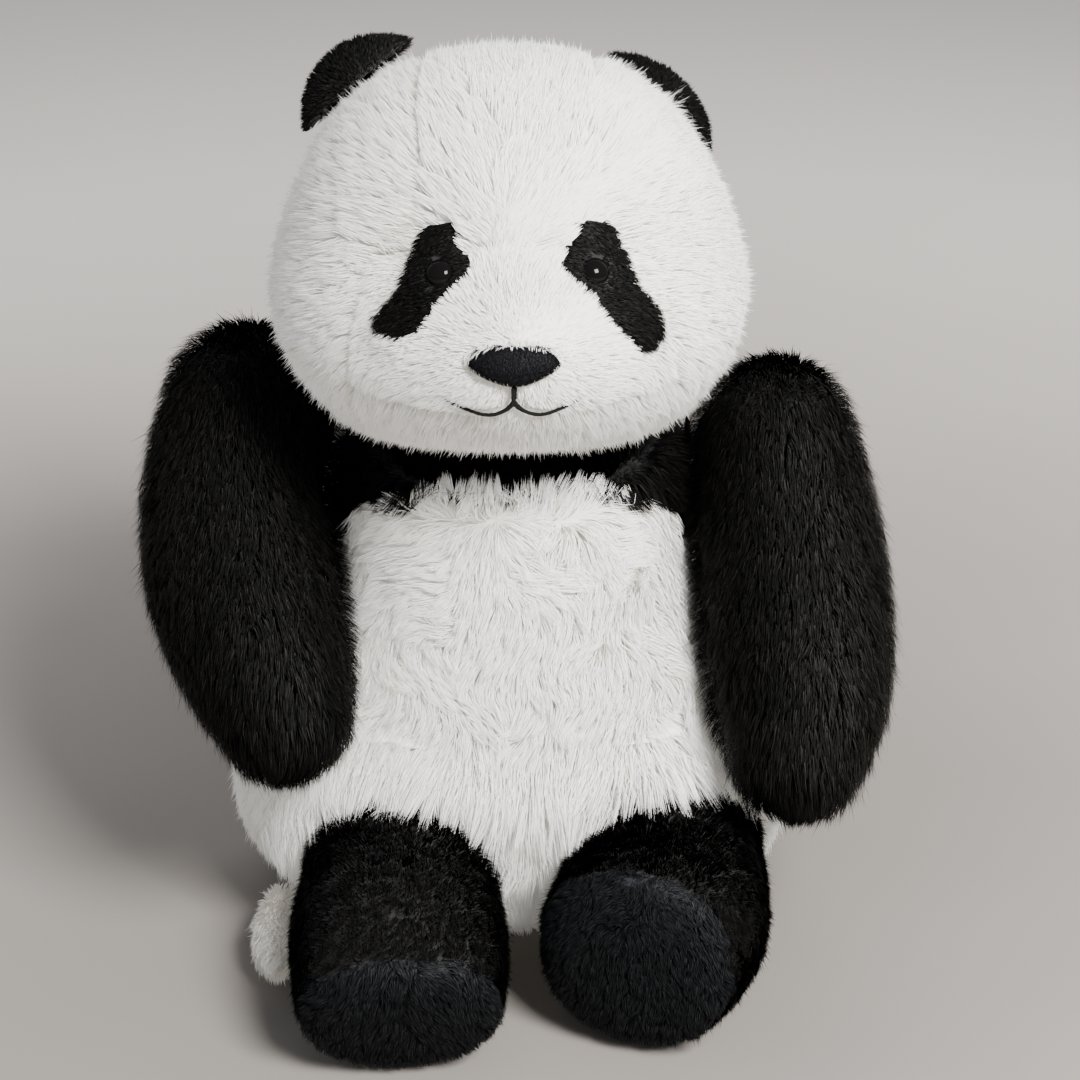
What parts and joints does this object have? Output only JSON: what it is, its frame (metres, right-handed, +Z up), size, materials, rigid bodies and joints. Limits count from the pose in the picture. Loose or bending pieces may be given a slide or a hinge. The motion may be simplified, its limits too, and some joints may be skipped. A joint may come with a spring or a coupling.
{
  "type": "plush panda",
  "caption": "Sitting stuffed toy panda of white and black long-pile plush, with a big round head, dangling padded arms and short legs stretched forward.",
  "frame": {"origin": "in the flat face of the seat, where the toy sits on the floor, under the middle of the trunk", "axes": "+Z up, the toy faces -Y, its own left arm is towards +X"},
  "size_m": [0.375, 0.2989, 0.4542],
  "materials": {
    "torso_stuffing": "polyester fibre fill",
    "bead_bag": "cotton pouch of plastic beads",
    "seat_base": "short white plush",
    "belly_panel": "long shaggy white plush",
    "crotch_panel": "long shaggy white plush",
    "hip_panel_left": "dense white plush",
    "hip_panel_right": "dense white plush",
    "lower_back_left": "dense white plush",
    "lower_back_right": "dense white plush",
    "chest_yoke": "long black plush",
    "upper_back_left": "long black plush",
    "upper_back_right": "long black plush",
    "neck_seam": "black sewing thread",
    "head_stuffing": "polyester fibre fill",
    "head_gusset": "dense white plush",
    "muzzle_panel": "dense white plush",
    "chin_panel": "dense white plush",
    "face_side_left": "dense white plush",
    "face_side_right": "dense white plush",
    "head_back_left": "dense white plush",
    "head_back_right": "dense white plush",
    "eye_patch_left": "short black plush",
    "eye_patch_right": "short black plush",
    "eye_left": "polished black dome",
    "eye_right": "polished black dome",
    "eye_washer_left": "moulded lock washer",
    "eye_washer_right": "moulded lock washer",
    "nose_pad": "black velour, padded",
    "mouth_stitch": "black embroidery thread",
    "ear_front_left": "short black plush",
    "ear_back_left": "short black plush",
    "ear_front_right": "short black plush",
    "ear_back_right": "short black plush",
    "shoulder_seam_left": "black sewing thread",
    "shoulder_seam_right": "black sewing thread",
    "arm_front_left": "long black plush",
    "arm_back_left": "long black plush",
    "arm_stuffing_left": "polyester fibre fill",
    "arm_front_right": "long black plush",
    "arm_back_right": "long black plush",
    "arm_stuffing_right": "polyester fibre fill",
    "hip_seam_left": "black sewing thread",
    "hip_seam_right": "black sewing thread",
    "leg_top_left": "long black plush",
    "leg_under_left": "long black plush",
    "foot_sole_left": "short blue-black plush",
    "leg_stuffing_left": "polyester fibre fill",
    "leg_top_right": "long black plush",
    "leg_under_right": "long black plush",
    "foot_sole_right": "short blue-black plush",
    "leg_stuffing_right": "polyester fibre fill",
    "tail_upper": "dense white plush",
    "tail_under": "dense white plush",
    "tail_stuffing": "polyester fibre fill"
  },
  "bodies": {
    "torso": {"torso_stuffing": "torso_stuffing", "bead_bag": "bead_bag", "seat_base": "seat_base", "belly_panel": "belly_panel", "crotch_panel": "crotch_panel", "hip_panel_left": "hip_panel_left", "hip_panel_right": "hip_panel_right", "lower_back_left": "lower_back_left", "lower_back_right": "lower_back_right", "chest_yoke": "chest_yoke", "upper_back_left": "upper_back_left", "upper_back_right": "upper_back_right"},
    "neck": {"neck_seam": "neck_seam"},
    "head": {"head_stuffing": "head_stuffing", "head_gusset": "head_gusset", "muzzle_panel": "muzzle_panel", "chin_panel": "chin_panel", "face_side_left": "face_side_left", "face_side_right": "face_side_right", "head_back_left": "head_back_left", "head_back_right": "head_back_right", "eye_patch_left": "eye_patch_left", "eye_patch_right": "eye_patch_right", "eye_left": "eye_left", "eye_right": "eye_right", "eye_washer_left": "eye_washer_left", "eye_washer_right": "eye_washer_right", "nose_pad": "nose_pad", "mouth_stitch": "mouth_stitch"},
    "ear_left": {"ear_front_left": "ear_front_left", "ear_back_left": "ear_back_left"},
    "ear_right": {"ear_front_right": "ear_front_right", "ear_back_right": "ear_back_right"},
    "shoulder_left": {"shoulder_seam_left": "shoulder_seam_left"},
    "shoulder_right": {"shoulder_seam_right": "shoulder_seam_right"},
    "arm_left": {"arm_front_left": "arm_front_left", "arm_back_left": "arm_back_left", "arm_stuffing_left": "arm_stuffing_left"},
    "arm_right": {"arm_front_right": "arm_front_right", "arm_back_right": "arm_back_right", "arm_stuffing_right": "arm_stuffing_right"},
    "hip_left": {"hip_seam_left": "hip_seam_left"},
    "hip_right": {"hip_seam_right": "hip_seam_right"},
    "leg_left": {"leg_top_left": "leg_top_left", "leg_under_left": "leg_under_left", "foot_sole_left": "foot_sole_left", "leg_stuffing_left": "leg_stuffing_left"},
    "leg_right": {"leg_top_right": "leg_top_right", "leg_under_right": "leg_under_right", "foot_sole_right": "foot_sole_right", "leg_stuffing_right": "leg_stuffing_right"},
    "tail": {"tail_upper": "tail_upper", "tail_under": "tail_under", "tail_stuffing": "tail_stuffing"}
  },
  "joints": [
    {"name": "head_turn", "type": "hinge", "parent": "torso", "child": "neck", "pos_m": [-0.001, -0.01, 0.35], "axis": [0, 0, 1], "range_deg": [-26, 26], "stiffness_Nm_per_rad": 0.9},
    {"name": "head_nod", "type": "hinge", "parent": "neck", "child": "head", "pos_m": [-0.001, -0.01, 0.32], "axis": [1, 0, 0], "range_deg": [-4, 8], "stiffness_Nm_per_rad": 1.6},
    {"name": "arm_left_lift", "type": "hinge", "parent": "torso", "child": "shoulder_left", "pos_m": [0.134, 0.028, 0.245], "axis": [-0.8, -0.6, 0], "range_deg": [0, 85]},
    {"name": "arm_left_spread", "type": "hinge", "parent": "shoulder_left", "child": "arm_left", "pos_m": [0.134, 0.028, 0.245], "axis": [0, -1, 0], "range_deg": [0, 40]},
    {"name": "arm_right_lift", "type": "hinge", "parent": "torso", "child": "shoulder_right", "pos_m": [-0.134, 0.028, 0.264], "axis": [-0.8, 0.6, 0], "range_deg": [0, 75]},
    {"name": "arm_right_spread", "type": "hinge", "parent": "shoulder_right", "child": "arm_right", "pos_m": [-0.134, 0.028, 0.264], "axis": [0, 1, 0], "range_deg": [0, 40]},
    {"name": "leg_left_lift", "type": "hinge", "parent": "torso", "child": "hip_left", "pos_m": [0.083, -0.062, 0.051], "axis": [-1, 0, 0], "range_deg": [0, 12]},
    {"name": "leg_left_splay", "type": "hinge", "parent": "hip_left", "child": "leg_left", "pos_m": [0.083, -0.062, 0.051], "axis": [0, 0, 1], "range_deg": [0, 8], "stiffness_Nm_per_rad": 0.3},
    {"name": "leg_right_lift", "type": "hinge", "parent": "torso", "child": "hip_right", "pos_m": [-0.06, -0.066, 0.049], "axis": [-1, 0, 0], "range_deg": [0, 20]},
    {"name": "leg_right_splay", "type": "hinge", "parent": "hip_right", "child": "leg_right", "pos_m": [-0.06, -0.066, 0.049], "axis": [0, 0, -1], "range_deg": [0, 9], "stiffness_Nm_per_rad": 0.3},
    {"name": "ear_left_flex", "type": "hinge", "parent": "head", "child": "ear_left", "pos_m": [0.07, 0.031, 0.414], "axis": [0.7191, -0.18, -0.6711], "range_deg": [-5, 15], "stiffness_Nm_per_rad": 0.05},
    {"name": "ear_right_flex", "type": "hinge", "parent": "head", "child": "ear_right", "pos_m": [-0.068, 0.024, 0.422], "axis": [0.7191, 0.18, 0.6711], "range_deg": [-12, 8], "stiffness_Nm_per_rad": 0.05},
    {"name": "tail_flex", "type": "hinge", "parent": "torso", "child": "tail", "pos_m": [-0.112, -0.05, 0.02], "axis": [0, 0, -1], "range_deg": [0, 12], "stiffness_Nm_per_rad": 0.02}
  ]
}
